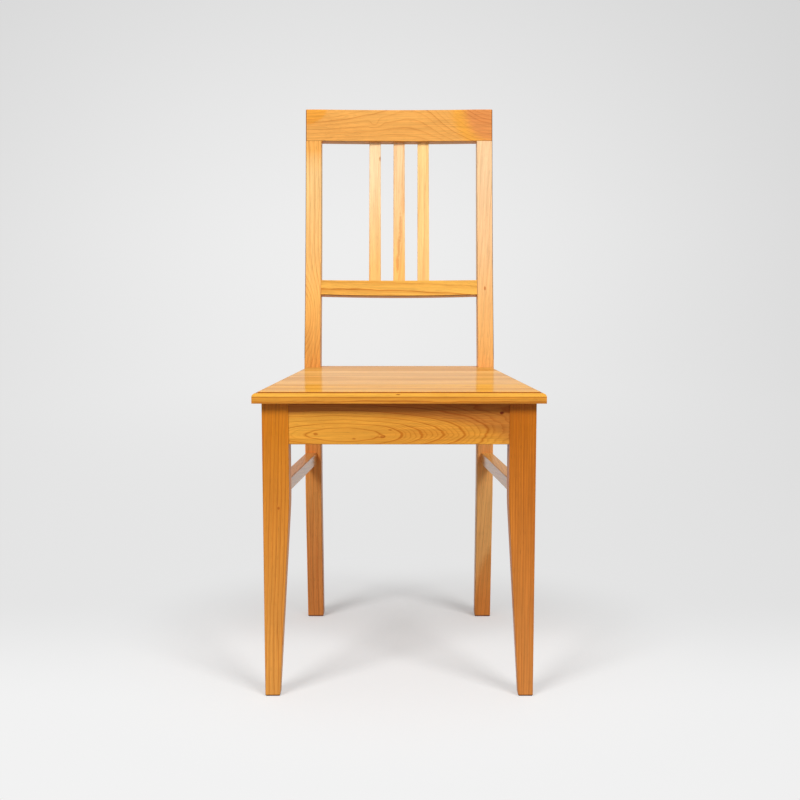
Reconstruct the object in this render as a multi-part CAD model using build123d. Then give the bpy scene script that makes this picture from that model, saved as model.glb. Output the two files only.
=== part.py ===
"""A wooden side chair: slatted back, moulded plank seat, tapered front legs and side stretchers.

The chair faces -Y and +Z is up. Left and right are as seen from the front, so +X is on the right.
It is worked out with y = 0 on the front faces of the front legs, and each piece is moved at the
end so that the origin lies on the floor, under the middle of the whole chair. Millimetres and degrees.
"""
import os
from dataclasses import dataclass
from functools import cache
from math import asin, cos, degrees, hypot, radians, sin

from build123d import *

# Overall sizes
TOTAL_HEIGHT = 913.0          # floor to the top front edge of the crest rail
SEAT_HEIGHT = 460.0           # floor to the top of the seat
FRAME_DEPTH = 370.0           # front face of the front legs to the front face of the rear posts
FRONT_SPREAD = 401.0          # across the outer faces of the front legs
REAR_SPREAD = 332.0           # across the outer faces of the rear posts

# Seat: four boards glued edge to edge, with a moulding along the front and both sides
SEAT_FRONT_OVERHANG = 13.7    # front edge ahead of the front legs
SEAT_SIDE_OVERHANG = 13.0     # side edge outside the front legs, at the front edge
SEAT_POST_OVERHANG = 2.8      # side edge outside the rear posts, at their front faces
SEAT_BEHIND_POST_FACE = 27.0  # rear edge behind the front faces of the rear posts
SEAT_FACE_HEIGHT = 9.5        # upright lower part of the moulded edge
SEAT_OVOLO_RADIUS = 5.5       # quarter round above it
SEAT_LEDGE = 2.0              # flat ledge at the head of the quarter round
SEAT_QUIRK = 1.5              # small upright step up to the top face
SEAT_TOP_ARRIS = 0.5
SEAT_LOWER_ARRIS = 0.8
SEAT_NOTCH_GAP = 0.4          # round the rear posts
FRONT_BOARD_WIDTH = 107.0
FRONT_MIDDLE_BOARD_WIDTH = 110.0
REAR_MIDDLE_BOARD_WIDTH = 101.0

# Front legs: square above, with two inner faces that taper to a slim foot
LEG_SIZE = 39.0
LEG_FOOT_SIZE = 22.0
LEG_TAPER_START = 292.0
LEG_TAPER_EASE = 500.0        # radius that eases the start of the taper
LEG_ARRIS = 0.9
FOOT_CHAMFER = 1.8

# Rear posts: raked foot, upright middle, back swept in a long arc
POST_WIDTH = 28.0
POST_DEPTH = 40.0
POST_TOP_DEPTH = 24.0
POST_FOOT_DEPTH = 31.0
FOOT_RAKE = 35.0              # foot behind the upright part
KNEE_HEIGHT = 240.0
BACK_BEND_RISE = 10.0         # bend of the back above the top of the seat
POST_BEND_RADIUS = 180.0
LEAN_AT_SEAT = 16.0           # lean of the back from upright, just above the seat
BACK_RADIUS = 2700.0          # sweep that brings the back more upright towards the top

# Back: crest rail on the posts, lower rail between them, three slats between the rails
BACK_BOW = 4.5                # both rails curve back by this much in the middle
BOW_EASE = 120.0              # radius that eases the curve of the crest rail into its flat ends
CREST_HEIGHT = 56.4           # along the lean
CREST_ARRIS = 1.5
CREST_LOWER_CHAMFER = 0.5
DOWEL_DIAMETER = 8.0
DOWEL_LENGTH = 40.0
DOWEL_PITCH = 13.0
LOWER_RAIL_ABOVE_SEAT = 139.0  # seat top to the middle of the rail
LOWER_RAIL_HEIGHT = 26.8      # along the lean
LOWER_RAIL_THICKNESS = 19.0
LOWER_RAIL_BELLY = 1.2        # lower edge hangs this much lower in the middle
LOWER_RAIL_SETBACK = 1.6      # ends of the rail behind the faces of the posts
LOWER_RAIL_ARRIS = 0.9
LOWER_RAIL_TENON_THICKNESS = 8.0
LOWER_RAIL_TENON_LENGTH = 15.0
LOWER_RAIL_TENON_SHOULDER = 3.5
SLAT_WIDTH_ABOVE = 20.0
SLAT_WIDTH_BELOW = 21.0
SLAT_THICKNESS = 8.5
SLAT_PITCH = 43.0
SLAT_TENON = 10.0
SLAT_ARRIS = 1.2

# Seat frame: four aprons with tenons, two side stretchers
APRON_HEIGHT = 62.0
APRON_THICKNESS = 20.0
APRON_SETBACK = 2.0           # behind the outer faces of the legs
APRON_ARRIS = 1.2
APRON_TENON_THICKNESS = 9.0
APRON_TENON_SHOULDER = 8.0    # above and below the tenon
APRON_TENON_LENGTH = 18.0     # into a front leg
SIDE_REAR_TENON_LENGTH = 12.0  # side apron into a rear post
REAR_APRON_TENON_LENGTH = 14.0
REAR_APRON_INSET = 3.0        # rear apron inside the rear edge of the seat
STRETCHER_TOP = 308.6
STRETCHER_HEIGHT = 20.0
STRETCHER_THICKNESS = 19.0
STRETCHER_SETBACK = 1.6       # inside the outer faces of the legs
STRETCHER_ARRIS = 1.2
STRETCHER_TENON_THICKNESS = 9.0
STRETCHER_TENON_SHOULDER = 3.5
STRETCHER_TENON_LENGTH = 16.0

# Corner blocks inside the seat frame, and the screws through them
BLOCK_REACH = 46.0            # along each apron, from the leg
BLOCK_HEIGHT = 28.0
SCREW_DIAMETER = 4.5
SCREW_HEAD_DIAMETER = 8.5
SCREW_HEAD_HEIGHT = 2.8
SEAT_SCREW_BITE = 10.0        # length inside the seat
SEAT_SCREW_INSET = 9.0        # from the apron across the chair
SEAT_SCREW_ALONG = 22.0       # from the leg, along that apron
LEG_SCREW_BITE = 12.0         # length inside a leg or post

# Fits
TENON_GAP = 0.1               # glue room on each side of a tenon, dowel or slat end
TENON_END_GAP = 1.0           # empty depth behind a tenon or dowel
SCREW_GAP = 0.05
CLOSE = 0.01                  # for picking out corners and edges by their place

# Sizes that follow from these
SEAT_UNDERSIDE = SEAT_HEIGHT - SEAT_QUIRK - SEAT_OVOLO_RADIUS - SEAT_FACE_HEIGHT
SEAT_FRONT_Y = -SEAT_FRONT_OVERHANG
SEAT_REAR_Y = FRAME_DEPTH + SEAT_BEHIND_POST_FACE
LEG_OUTER_X = FRONT_SPREAD / 2
LEG_INNER_X = LEG_OUTER_X - LEG_SIZE
POST_OUTER_X = REAR_SPREAD / 2
POST_INNER_X = POST_OUTER_X - POST_WIDTH
BEND_HEIGHT = SEAT_HEIGHT + BACK_BEND_RISE
APRON_BOTTOM = SEAT_UNDERSIDE - APRON_HEIGHT
FRONT_APRON_REAR_Y = APRON_SETBACK + APRON_THICKNESS
REAR_APRON_REAR_Y = SEAT_REAR_Y - REAR_APRON_INSET
REAR_APRON_FRONT_Y = REAR_APRON_REAR_Y - APRON_THICKNESS
BLOCK_BOTTOM = SEAT_UNDERSIDE - BLOCK_HEIGHT
SIDE_SLOPE = (POST_OUTER_X - LEG_OUTER_X) / (FRAME_DEPTH - LEG_SIZE)
SIDE_STRETCH = hypot(1, SIDE_SLOPE)  # width across the chair of a side piece that is 1 thick
FAR = 2 * TOTAL_HEIGHT        # longer than anything that it cuts


# Shared shapes

def near(sketch, points):
    """Vertices of a sketch that lie on the given points."""
    return [v for v in sketch.vertices() if any(hypot(v.X - x, v.Y - y) < CLOSE for x, y in points)]


def edges_at(solid, axis, place):
    """Edges of a solid that lie wholly at one place along an axis."""
    return solid.edges().filter_by_position(axis, place - CLOSE, place + CLOSE)


def edges_longer(solid, length):
    """Edges of a solid that are longer than a length."""
    return [edge for edge in solid.edges() if edge.length > length]


def box_between(low, high):
    """Box between two opposite corners."""
    size = [b - a for a, b in zip(low, high)]
    middle = [(a + b) / 2 for a, b in zip(low, high)]
    return Pos(*middle) * Box(*size)


def outline_face(*points):
    """Face inside a closed run of straight lines."""
    return make_face(Polyline(*points, close=True))


def upright(points, bottom, top):
    """Prism that stands on a plan outline."""
    return Pos(0, 0, bottom) * extrude(outline_face(*points), top - bottom)


def softened_leg(leg):
    """A leg with its long corners taken off, and a larger chamfer round its foot."""
    leg = chamfer(edges_at(leg, Axis.Z, 0), FOOT_CHAMFER)
    rising = [edge for edge in leg.edges() if edge.bounding_box().size.Z > POST_TOP_DEPTH / 2]
    return chamfer(rising, LEG_ARRIS)


def left_twin(piece):
    """The left-hand twin of a right-hand piece."""
    return mirror(piece, about=Plane.YZ)


# The sweep of the back

def lean_at(height):
    """Lean of the back from upright, in degrees, at a height above the bend."""
    return degrees(asin(sin(radians(LEAN_AT_SEAT)) - (height - BEND_HEIGHT) / BACK_RADIUS))


def back_y(height):
    """Depth of the swept front face of the posts at a height above the bend."""
    return FRAME_DEPTH + BACK_RADIUS * (cos(radians(lean_at(height))) - cos(radians(LEAN_AT_SEAT)))


def back_plane(height):
    """Plane square to the leaning back: x to the right, y backwards through it, z up along it."""
    lean = radians(lean_at(height))
    return Plane(origin=(0, back_y(height), height), x_dir=(1, 0, 0), z_dir=(0, sin(lean), cos(lean)))


def crest_joint_height():
    """Height of the front edge of the joint between the posts and the crest rail."""
    height = TOTAL_HEIGHT - CREST_HEIGHT
    for _ in range(4):        # each pass brings it closer, and four settle it
        height = TOTAL_HEIGHT - CREST_HEIGHT * cos(radians(lean_at(height)))
    return height


CREST_PLANE = back_plane(crest_joint_height())
LOWER_RAIL_PLANE = back_plane(SEAT_HEIGHT + LOWER_RAIL_ABOVE_SEAT)


# Side pieces, which run from the front legs to the narrower pair of rear posts

@dataclass
class SidePiece:
    """Section of a piece along the right-hand side of the frame, and of its tenons."""

    setback: float            # inside the outer faces of the legs
    thickness: float
    bottom: float
    top: float
    tenon_thickness: float
    tenon_shoulder: float     # above and below the tenon

    def outer_x(self, y):
        """Where the outer face lies at a depth."""
        return LEG_OUTER_X - self.setback + (y - LEG_SIZE) * SIDE_SLOPE

    def inner_x(self, y):
        """Where the inner face lies at a depth."""
        return self.outer_x(y) - self.thickness * SIDE_STRETCH

    def length(self, start, end, side_inset=0.0, edge_inset=0.0):
        """A length of the piece between two depths, pared away at its sides and at its edges."""
        inset = side_inset * SIDE_STRETCH
        points = [(self.outer_x(start) - inset, start), (self.outer_x(end) - inset, end),
                  (self.inner_x(end) + inset, end), (self.inner_x(start) + inset, start)]
        return upright(points, self.bottom + edge_inset, self.top - edge_inset)

    def tenon(self, start, end, gap=0.0):
        """The tenon between two depths or, with a gap all round it, its mortise."""
        side_inset = (self.thickness - self.tenon_thickness) / 2
        return self.length(start, end, side_inset - gap, self.tenon_shoulder - gap)


SIDE_APRON = SidePiece(
    APRON_SETBACK, APRON_THICKNESS, APRON_BOTTOM, SEAT_UNDERSIDE,
    APRON_TENON_THICKNESS, APRON_TENON_SHOULDER)
STRETCHER = SidePiece(
    STRETCHER_SETBACK, STRETCHER_THICKNESS, STRETCHER_TOP - STRETCHER_HEIGHT, STRETCHER_TOP,
    STRETCHER_TENON_THICKNESS, STRETCHER_TENON_SHOULDER)


def side_apron():
    """Right side apron with softened lower edges and a tenon at each end."""
    apron = SIDE_APRON.length(LEG_SIZE, FRAME_DEPTH)
    lower = edges_at(apron, Axis.Z, APRON_BOTTOM)
    apron = fillet([edge for edge in lower if edge.length > 2 * APRON_THICKNESS], APRON_ARRIS)
    apron += SIDE_APRON.tenon(LEG_SIZE - APRON_TENON_LENGTH, LEG_SIZE)
    return apron + SIDE_APRON.tenon(FRAME_DEPTH, FRAME_DEPTH + SIDE_REAR_TENON_LENGTH)


def side_stretcher():
    """Right side stretcher, with shoulders cut to fit the leg and the post, and a tenon at each end."""
    front_end = LEG_SIZE - STRETCHER_TENON_LENGTH
    rear_end = FRAME_DEPTH + STRETCHER_TENON_LENGTH
    bar = STRETCHER.length((front_end + LEG_SIZE) / 2, (FRAME_DEPTH + rear_end) / 2)
    bar = fillet(edges_longer(bar, 2 * STRETCHER_HEIGHT), STRETCHER_ARRIS)
    return bar - front_leg_blank() - rear_post_blank() + STRETCHER.tenon(front_end, rear_end)


# Front and rear aprons

@dataclass
class AcrossTenon:
    """Place of the tenon at the right-hand end of an apron that runs across the chair."""

    shoulder_x: float
    front_y: float
    length: float

    def solid(self, gap=0.0, end_gap=0.0):
        """The tenon or, with gaps round it and behind it, its mortise."""
        return box_between(
            (self.shoulder_x - gap, self.front_y - gap, APRON_BOTTOM + APRON_TENON_SHOULDER - gap),
            (self.shoulder_x + self.length + end_gap, self.front_y + APRON_TENON_THICKNESS + gap,
             SEAT_UNDERSIDE - APRON_TENON_SHOULDER + gap))


FRONT_APRON_TENON = AcrossTenon(
    LEG_INNER_X, APRON_SETBACK + (APRON_THICKNESS - APRON_TENON_THICKNESS) / 2, APRON_TENON_LENGTH)
REAR_APRON_TENON = AcrossTenon(
    POST_INNER_X, REAR_APRON_REAR_Y - APRON_TENON_THICKNESS, REAR_APRON_TENON_LENGTH)


def across_apron(front_y, tenon):
    """Apron between a pair of legs, with softened lower edges and a tenon at each end."""
    apron = box_between((-tenon.shoulder_x, front_y, APRON_BOTTOM),
                        (tenon.shoulder_x, front_y + APRON_THICKNESS, SEAT_UNDERSIDE))
    apron = fillet(edges_at(apron, Axis.Z, APRON_BOTTOM).filter_by(Axis.X), APRON_ARRIS)
    return apron + tenon.solid() + left_twin(tenon.solid())


# Front legs

@cache
def front_leg_blank():
    """Right front leg before its mortises."""
    foot_inner = LEG_OUTER_X - LEG_FOOT_SIZE
    inner_start = (LEG_INNER_X, LEG_TAPER_START)
    rear_start = (LEG_SIZE, LEG_TAPER_START)
    front_view = outline_face((LEG_OUTER_X, 0), (LEG_OUTER_X, SEAT_UNDERSIDE),
                              (LEG_INNER_X, SEAT_UNDERSIDE), inner_start, (foot_inner, 0))
    side_view = outline_face((0, 0), (0, SEAT_UNDERSIDE),
                             (LEG_SIZE, SEAT_UNDERSIDE), rear_start, (LEG_FOOT_SIZE, 0))
    front_view = fillet(near(front_view, [inner_start]), LEG_TAPER_EASE)
    side_view = fillet(near(side_view, [rear_start]), LEG_TAPER_EASE)
    across = extrude(Plane.XZ * front_view, FAR, both=True)
    along = extrude(Plane.YZ * side_view, FAR, both=True)
    return softened_leg(across & along)


def front_leg():
    """Right front leg with mortises for the front apron, the side apron and the stretcher."""
    leg = front_leg_blank() - FRONT_APRON_TENON.solid(TENON_GAP, TENON_END_GAP)
    for piece, tenon_length in ((SIDE_APRON, APRON_TENON_LENGTH), (STRETCHER, STRETCHER_TENON_LENGTH)):
        leg -= piece.tenon(LEG_SIZE - tenon_length - TENON_END_GAP, LEG_SIZE + TENON_GAP, TENON_GAP)
    return leg - leg_screw(FRONT_BLOCK, SCREW_GAP)


# Rear posts

def post_rear(height):
    """Point on the rear of a post, seen from the side, square behind a height of its swept front."""
    lean = radians(lean_at(height))
    share = (height - BEND_HEIGHT) / (CREST_PLANE.origin.Z - BEND_HEIGHT)
    depth = POST_DEPTH + share * (POST_TOP_DEPTH - POST_DEPTH)
    return back_y(height) + depth * cos(lean), height - depth * sin(lean)


@cache
def rear_post_blank():
    """Right rear leg and back post in one piece, before its mortises.

    Its sweep runs on to the full height of the chair and is then cut off at the joint with the crest rail.
    """
    rear_y = FRAME_DEPTH + POST_DEPTH
    foot_y = FRAME_DEPTH + FOOT_RAKE
    knee_front = (FRAME_DEPTH, KNEE_HEIGHT)
    knee_rear = (rear_y, KNEE_HEIGHT)
    bend_front = (FRAME_DEPTH, BEND_HEIGHT)
    bend_rear = (rear_y, BEND_HEIGHT)
    top_front = (back_y(TOTAL_HEIGHT), TOTAL_HEIGHT)
    top_rear = post_rear(TOTAL_HEIGHT)
    sweep_middle = (BEND_HEIGHT + TOTAL_HEIGHT) / 2
    side_view = make_face([
        Line(top_rear, top_front),
        ThreePointArc(top_front, (back_y(sweep_middle), sweep_middle), bend_front),
        Polyline(bend_front, knee_front, (foot_y, 0), (foot_y + POST_FOOT_DEPTH, 0), knee_rear, bend_rear),
        ThreePointArc(bend_rear, post_rear(sweep_middle), top_rear),
    ])
    bends = near(side_view, [knee_front, knee_rear, bend_front, bend_rear])
    side_view = Plane.YZ * fillet(bends, POST_BEND_RADIUS)
    post = softened_leg(Pos(POST_INNER_X, 0, 0) * extrude(side_view, POST_WIDTH))
    return post - CREST_PLANE * box_between((-FAR, -FAR, 0), (FAR, FAR, FAR))


def rear_post():
    """Right rear post with mortises for the aprons, the stretcher and the lower rail, and dowel holes."""
    post = rear_post_blank() - REAR_APRON_TENON.solid(TENON_GAP, TENON_END_GAP)
    for piece, tenon_length in ((SIDE_APRON, SIDE_REAR_TENON_LENGTH), (STRETCHER, STRETCHER_TENON_LENGTH)):
        post -= piece.tenon(FRAME_DEPTH - TENON_GAP, FRAME_DEPTH + tenon_length + TENON_END_GAP, TENON_GAP)
    post -= lower_rail_tenon(TENON_GAP, TENON_END_GAP)
    for hole in crest_dowels(TENON_GAP, TENON_END_GAP):
        post -= hole
    return post - leg_screw(REAR_BLOCK, SCREW_GAP)


# Back rails and slats

def bow_at(x):
    """How far a bowed rail lies behind its ends, at a distance from the middle."""
    return BACK_BOW * (1 - (x / POST_INNER_X) ** 2)


def bowed_front(y):
    """All that lies in front of a bowed face, whose ends lie at a depth behind the faces of the posts."""
    radius = (POST_INNER_X ** 2 + BACK_BOW ** 2) / (2 * BACK_BOW)
    return Pos(0, y + BACK_BOW - radius, 0) * Cylinder(radius, FAR)


def crest_dowels(gap=0.0, end_gap=0.0):
    """The two dowels between the right post and the crest rail or, with gaps, the holes for them."""
    middle = (POST_OUTER_X + POST_INNER_X) / 2
    dowel = Cylinder(DOWEL_DIAMETER / 2 + gap, DOWEL_LENGTH + 2 * end_gap)
    places = [middle + side * DOWEL_PITCH / 2 for side in (-1, 1)]
    return [CREST_PLANE * Pos(x, POST_TOP_DEPTH / 2, 0) * dowel for x in places]


def crest_rail():
    """Crest rail on the tops of the posts: flat over the posts, bowed back between them."""
    inner = POST_INNER_X
    outer = POST_OUTER_X
    depth = POST_TOP_DEPTH
    plan = make_face([
        Line((-outer, 0), (-inner, 0)),
        ThreePointArc((-inner, 0), (0, BACK_BOW), (inner, 0)),
        Polyline((inner, 0), (outer, 0), (outer, depth), (inner, depth)),
        ThreePointArc((inner, depth), (0, depth + BACK_BOW), (-inner, depth)),
        Polyline((-inner, depth), (-outer, depth), (-outer, 0)),
    ])
    eased = near(plan, [(side * inner, y) for side in (-1, 1) for y in (0, depth)])
    crest = extrude(fillet(eased, BOW_EASE), CREST_HEIGHT)
    end_corners = [e for e in crest.edges().filter_by(Axis.Z) if abs(e.center().X) > outer - CLOSE]
    crest = fillet(end_corners + edges_at(crest, Axis.Z, CREST_HEIGHT), CREST_ARRIS)
    crest = CREST_PLANE * chamfer(edges_at(crest, Axis.Z, 0), CREST_LOWER_CHAMFER)
    for hole in crest_dowels(TENON_GAP, TENON_END_GAP):
        crest = crest - hole - left_twin(hole)
    return with_slat_mortises(crest)


def lower_rail_tenon(gap=0.0, end_gap=0.0):
    """Right tenon of the lower back rail or, with gaps, its mortise."""
    middle_y = LOWER_RAIL_SETBACK + LOWER_RAIL_THICKNESS / 2
    half_y = LOWER_RAIL_TENON_THICKNESS / 2 + gap
    half_z = LOWER_RAIL_HEIGHT / 2 - LOWER_RAIL_TENON_SHOULDER + gap
    return LOWER_RAIL_PLANE * box_between(
        (POST_INNER_X - gap, middle_y - half_y, -half_z),
        (POST_INNER_X + LOWER_RAIL_TENON_LENGTH + end_gap, middle_y + half_y, half_z))


def lower_back_rail():
    """Rail between the posts, bowed back, with a slightly bellied lower edge and a tenon at each end."""
    end_x = POST_INNER_X
    top = LOWER_RAIL_HEIGHT / 2
    elevation = make_face([
        Polyline((end_x, -top), (end_x, top), (-end_x, top), (-end_x, -top)),
        ThreePointArc((-end_x, -top), (0, -top - LOWER_RAIL_BELLY), (end_x, -top)),
    ])
    rail = extrude(Plane.XZ * elevation, FAR, both=True)
    rail &= bowed_front(LOWER_RAIL_SETBACK + LOWER_RAIL_THICKNESS)
    rail -= bowed_front(LOWER_RAIL_SETBACK)
    rail = LOWER_RAIL_PLANE * chamfer(edges_longer(rail, POST_INNER_X), LOWER_RAIL_ARRIS)
    return with_slat_mortises(rail + lower_rail_tenon() + left_twin(lower_rail_tenon()))


def slat_place(x):
    """Plane in the middle of a slat's thickness, with y up along it, and its length between the rails."""
    lower_y = LOWER_RAIL_SETBACK + LOWER_RAIL_THICKNESS / 2 + bow_at(x)
    upper_y = POST_TOP_DEPTH / 2 + bow_at(x)
    lower = LOWER_RAIL_PLANE.from_local_coords((x, lower_y, LOWER_RAIL_HEIGHT / 2))
    upper = CREST_PLANE.from_local_coords((x, upper_y, 0))
    rise = upper - lower
    return Plane(origin=lower, x_dir=(1, 0, 0), z_dir=(0, -rise.Z, rise.Y)), rise.length


def slat_blank(length, gap=0.0, end_gap=0.0):
    """Slat with square corners, tapering a little upwards, or with gaps the mortises for its two ends."""
    low = -SLAT_TENON - end_gap
    high = length + SLAT_TENON + end_gap
    below = SLAT_WIDTH_BELOW / 2 + gap
    above = SLAT_WIDTH_ABOVE / 2 + gap
    thickness = SLAT_THICKNESS + 2 * gap
    face = outline_face((-below, low), (below, low), (above, high), (-above, high))
    return Pos(0, 0, -thickness / 2) * extrude(face, thickness)


def back_slat(x):
    """Slat with rounded long corners."""
    plane, length = slat_place(x)
    slat = slat_blank(length)
    return plane * fillet(edges_longer(slat, 2 * SLAT_WIDTH_BELOW), SLAT_ARRIS)


SLAT_PLACES = {"left": -SLAT_PITCH, "centre": 0.0, "right": SLAT_PITCH}


def with_slat_mortises(rail):
    """A back rail with a mortise for the end of each slat."""
    for x in SLAT_PLACES.values():
        plane, length = slat_place(x)
        rail -= plane * slat_blank(length, TENON_GAP, TENON_END_GAP)
    return rail


# Corner blocks and screws

def block_outline(leg_x, leg_y, apron_y, turn):
    """Plan of a right-hand corner block: past the leg to the apron, and to the side apron."""
    far_y = leg_y + turn * BLOCK_REACH
    return [(leg_x - BLOCK_REACH, apron_y), (leg_x, apron_y), (leg_x, leg_y),
            (SIDE_APRON.inner_x(leg_y), leg_y), (SIDE_APRON.inner_x(far_y), far_y)]


FRONT_BLOCK = block_outline(LEG_INNER_X, LEG_SIZE, FRONT_APRON_REAR_Y, 1)
REAR_BLOCK = block_outline(POST_INNER_X, FRAME_DEPTH, REAR_APRON_FRONT_Y, -1)


def wood_screw(length, gap=0.0):
    """Screw along z whose head rests on the xy plane or, with a gap, the hole for its shank."""
    along = (Align.CENTER, Align.CENTER, Align.MIN)
    shank = Cylinder(SCREW_DIAMETER / 2 + gap, length + gap, align=along)
    if gap:
        return shank
    head = Cylinder(SCREW_HEAD_DIAMETER / 2, SCREW_HEAD_HEIGHT, align=along)
    return shank + Pos(0, 0, -SCREW_HEAD_HEIGHT) * head


def leg_screw(outline, gap=0.0):
    """Screw square through the long face of a corner block and into the corner of the leg."""
    start, corner, end = (Vector(*outline[i]) for i in (0, 2, 4))
    along = (end - start).normalized()
    foot = start + along * (corner - start).dot(along)
    inward = corner - foot
    plane = Plane(origin=(foot.X, foot.Y, BLOCK_BOTTOM + BLOCK_HEIGHT / 2), z_dir=inward)
    return plane * wood_screw(inward.length + LEG_SCREW_BITE, gap)


def seat_screw(outline, gap=0.0):
    """Screw straight up through a corner block into the seat."""
    (apron_x, apron_y), (_, leg_y) = outline[1], outline[2]
    turn = 1 if outline[4][1] > leg_y else -1
    place = Pos(apron_x - SEAT_SCREW_ALONG, apron_y + turn * SEAT_SCREW_INSET, BLOCK_BOTTOM)
    return place * wood_screw(BLOCK_HEIGHT + SEAT_SCREW_BITE, gap)


def corner_block(outline):
    """Right-hand corner block with its screw holes."""
    block = upright(outline, BLOCK_BOTTOM, SEAT_UNDERSIDE)
    return block - leg_screw(outline, SCREW_GAP) - seat_screw(outline, SCREW_GAP)


# Seat

def seat_outline(inset):
    """Plan of the seat, drawn in by an inset along its front and sides."""
    front_half = LEG_OUTER_X + SEAT_SIDE_OVERHANG
    slope = (POST_OUTER_X + SEAT_POST_OVERHANG - front_half) / (FRAME_DEPTH - SEAT_FRONT_Y)
    front_y = SEAT_FRONT_Y + inset
    corners = []
    for y in (front_y, SEAT_REAR_Y):
        corners.append((front_half + (y - SEAT_FRONT_Y) * slope - inset * hypot(1, slope), y))
    (front_x, _), (rear_x, _) = corners
    return [(-front_x, front_y), (front_x, front_y), (rear_x, SEAT_REAR_Y), (-rear_x, SEAT_REAR_Y)]


def moulded_edges(slab, height):
    """Front and side edges of a seat slab at a height."""
    return [edge for edge in edges_at(slab, Axis.Z, height) if edge.center().Y < SEAT_REAR_Y - CLOSE]


def seat():
    """The whole seat: a slab with a quarter-round edge and a raised field on it, notched for the posts."""
    ledge = SEAT_HEIGHT - SEAT_QUIRK
    slab = upright(seat_outline(0), SEAT_UNDERSIDE, ledge)
    slab = fillet(moulded_edges(slab, ledge), SEAT_OVOLO_RADIUS)
    slab = fillet(moulded_edges(slab, SEAT_UNDERSIDE), SEAT_LOWER_ARRIS)
    field = upright(seat_outline(SEAT_OVOLO_RADIUS + SEAT_LEDGE), ledge, SEAT_HEIGHT)
    field = fillet(moulded_edges(field, SEAT_HEIGHT), SEAT_TOP_ARRIS)
    notch = box_between((POST_INNER_X - SEAT_NOTCH_GAP, FRAME_DEPTH - SEAT_NOTCH_GAP, 0), (FAR, FAR, FAR))
    cutters = [notch, seat_screw(FRONT_BLOCK, SCREW_GAP), seat_screw(REAR_BLOCK, SCREW_GAP)]
    top = slab + field
    for cutter in cutters:
        top = top - cutter - left_twin(cutter)
    return top


def seat_boards():
    """The seat cut along its glue lines into four boards, from front to rear."""
    whole = seat()
    joints = [SEAT_FRONT_Y]
    for width in (FRONT_BOARD_WIDTH, FRONT_MIDDLE_BOARD_WIDTH, REAR_MIDDLE_BOARD_WIDTH):
        joints.append(joints[-1] + width)
    joints.append(SEAT_REAR_Y)
    names = ("front", "front_middle", "rear_middle", "rear")
    boards = {}
    for name, start, end in zip(names, joints, joints[1:]):
        boards[f"seat_board_{name}"] = whole & box_between((-FAR, start, 0), (FAR, end, FAR))
    return boards


# The chair

def chair():
    """Every piece of the chair by its name."""
    pieces = {
        "crest_rail": crest_rail(),
        "lower_back_rail": lower_back_rail(),
        "front_apron": across_apron(APRON_SETBACK, FRONT_APRON_TENON),
        "rear_apron": across_apron(REAR_APRON_FRONT_Y, REAR_APRON_TENON),
    }
    pieces.update(seat_boards())
    for place, x in SLAT_PLACES.items():
        pieces[f"back_slat_{place}"] = back_slat(x)
    right_hand = {
        "front_leg": front_leg(),
        "rear_post": rear_post(),
        "side_apron": side_apron(),
        "side_stretcher": side_stretcher(),
        "corner_block_front": corner_block(FRONT_BLOCK),
        "corner_block_rear": corner_block(REAR_BLOCK),
    }
    for name, piece in right_hand.items():
        pieces[f"{name}_right"] = piece
        pieces[f"{name}_left"] = left_twin(piece)
    groups = {
        "crest_dowels": crest_dowels(),
        "corner_block_screws": [leg_screw(FRONT_BLOCK), leg_screw(REAR_BLOCK)],
        "seat_screws": [seat_screw(FRONT_BLOCK), seat_screw(REAR_BLOCK)],
    }
    for name, right_side in groups.items():
        both_sides = right_side + [left_twin(piece) for piece in right_side]
        pieces[name] = Compound([piece.solid() for piece in both_sides])
    return pieces


def main():
    """Centre the chair on the origin and write each piece to its own file."""
    os.makedirs("parts", exist_ok=True)
    pieces = chair()
    boxes = [piece.bounding_box() for piece in pieces.values()]
    middle_y = (min(box.min.Y for box in boxes) + max(box.max.Y for box in boxes)) / 2
    for name, piece in pieces.items():
        export_step(Pos(0, -middle_y, 0) * piece, f"parts/{name}.step")
    print(f"{len(pieces)} pieces, middle at y = {middle_y:.3f}")


main()
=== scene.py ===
"""A varnished wooden side chair on a pale studio floor.

The chair's pieces keep their shapes, and each board gets its own cut of the wood. The screws under the
seat are modelled here with their recesses. Metres; the chair faces -Y, +X is on the right and +Z is up.
"""
import logging
import math
from dataclasses import dataclass
from enum import Enum

import bpy
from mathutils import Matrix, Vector


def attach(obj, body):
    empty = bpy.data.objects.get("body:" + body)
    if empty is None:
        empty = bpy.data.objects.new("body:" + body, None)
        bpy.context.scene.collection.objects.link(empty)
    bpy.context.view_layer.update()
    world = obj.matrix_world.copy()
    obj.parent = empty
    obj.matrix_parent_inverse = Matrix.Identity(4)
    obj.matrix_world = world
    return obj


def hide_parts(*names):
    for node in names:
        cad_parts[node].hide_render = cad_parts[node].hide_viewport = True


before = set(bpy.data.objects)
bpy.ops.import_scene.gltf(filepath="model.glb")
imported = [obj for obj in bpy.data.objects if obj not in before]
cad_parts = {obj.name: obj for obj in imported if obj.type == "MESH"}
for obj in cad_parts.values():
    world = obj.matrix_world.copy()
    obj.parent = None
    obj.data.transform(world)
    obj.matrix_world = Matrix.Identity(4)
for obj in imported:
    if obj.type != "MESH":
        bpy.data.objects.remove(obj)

Colour = tuple[float, float, float]
Point = tuple[float, float, float]
Span = tuple[float, float]
Socket = bpy.types.NodeSocket
Value = Socket | float | Point
Names = dict[str, tuple[str, ...]]  # of sockets, by their kind

BODY = "root"
NOISE_RANGE = (0.3, 0.7)  # within which most values of a noise lie
log = logging.getLogger("chair")


def from_screen(red: int, green: int, blue: int) -> Colour:
    """Linear colour of a screen colour, 0 to 255, by the sRGB curve."""
    shares = (red / 255, green / 255, blue / 255)
    return tuple(
        share / 12.92 if share <= 0.04045 else ((share + 0.055) / 1.055) ** 2.4 for share in shares)


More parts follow.
